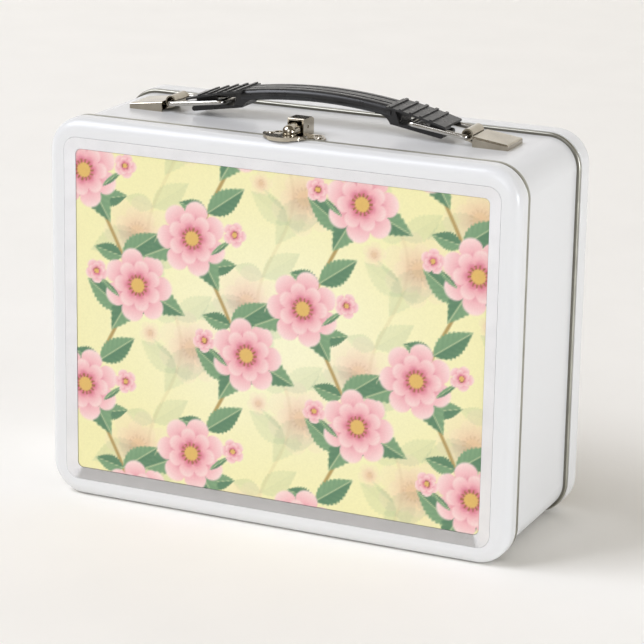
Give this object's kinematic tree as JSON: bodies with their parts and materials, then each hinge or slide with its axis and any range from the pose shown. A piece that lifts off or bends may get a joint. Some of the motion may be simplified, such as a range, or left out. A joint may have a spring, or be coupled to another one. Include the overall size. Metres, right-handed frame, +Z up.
{
  "type": "metal lunch box",
  "caption": "Flat rectangular metal lunch box with rounded corners, a hinged lid with a framed picture panel, a lever latch and a carrying handle on wire loops.",
  "frame": {"origin": "on the floor under the middle of the closed case", "axes": "X to the right along the width, Y from the picture side to the back, Z up to the handle"},
  "size_m": [0.216, 0.088, 0.1843],
  "materials": {
    "white_enamel": "gloss white enamel on tinplate",
    "picture_print": "printed sheet metal under clear gloss varnish",
    "bezel_metal": "bright rolled aluminium",
    "bare_rim": "bare rolled tinplate",
    "nickel": "warm nickel plating",
    "steel_wire": "drawn steel wire",
    "hinge_steel": "zinc plated sheet steel",
    "black_plastic": "satin black moulded plastic"
  },
  "bodies": {
    "case": {"side_band": "white_enamel", "back_shell": "white_enamel", "front_bead": "bare_rim", "rear_bead": "bare_rim", "left_case_leaf": "hinge_steel", "right_case_leaf": "hinge_steel", "left_hinge_pin": "steel_wire", "right_hinge_pin": "steel_wire", "left_bracket_strap": "nickel", "right_bracket_strap": "nickel", "left_bracket_hood": "nickel", "right_bracket_hood": "nickel", "bracket_rivets": "nickel", "latch_plate": "nickel", "latch_rivets": "nickel", "latch_housing": "nickel", "latch_pin": "nickel"},
    "lid": {"lid_shell": "white_enamel", "picture_panel": "picture_print", "panel_bezel": "bezel_metal", "latch_keeper": "hinge_steel", "left_lid_leaf": "hinge_steel", "right_lid_leaf": "hinge_steel"},
    "latch": {"latch_lever": "nickel", "latch_spring": "steel_wire"},
    "handle": {"handle_grip": "black_plastic"},
    "left_wire_loop": {"left_loop": "steel_wire"},
    "right_wire_loop": {"right_loop": "steel_wire"}
  },
  "joints": [
    {"name": "lid_hinge", "type": "hinge", "parent": "case", "child": "lid", "pos_m": [0, -0.0329, 0.0012], "axis": [1, 0, 0], "range_deg": [0, 120]},
    {"name": "latch_lift", "type": "hinge", "parent": "case", "child": "latch", "pos_m": [0, -0.0199, 0.1723], "axis": [-1, 0, 0], "range_deg": [0, 12], "stiffness_Nm_per_rad": 0.03, "springref_deg": -14.32},
    {"name": "handle_lift", "type": "slide", "parent": "case", "child": "handle", "axis": [0, 0, 1], "range_m": [0, 0.014]},
    {"name": "left_loop_swing", "type": "hinge", "parent": "case", "child": "left_wire_loop", "pos_m": [-0.0692, 0.002, 0.1721], "axis": [0, -1, 0], "range_deg": [0, 35.2]},
    {"name": "right_loop_swing", "type": "hinge", "parent": "case", "child": "right_wire_loop", "pos_m": [0.0692, 0.002, 0.1721], "axis": [0, 1, 0], "range_deg": [0, 35.2]}
  ],
  "couplings": [
    {"joint": "left_loop_swing", "follows": "handle_lift", "rad_per_m": 43.766},
    {"joint": "right_loop_swing", "follows": "handle_lift", "rad_per_m": 43.766}
  ]
}
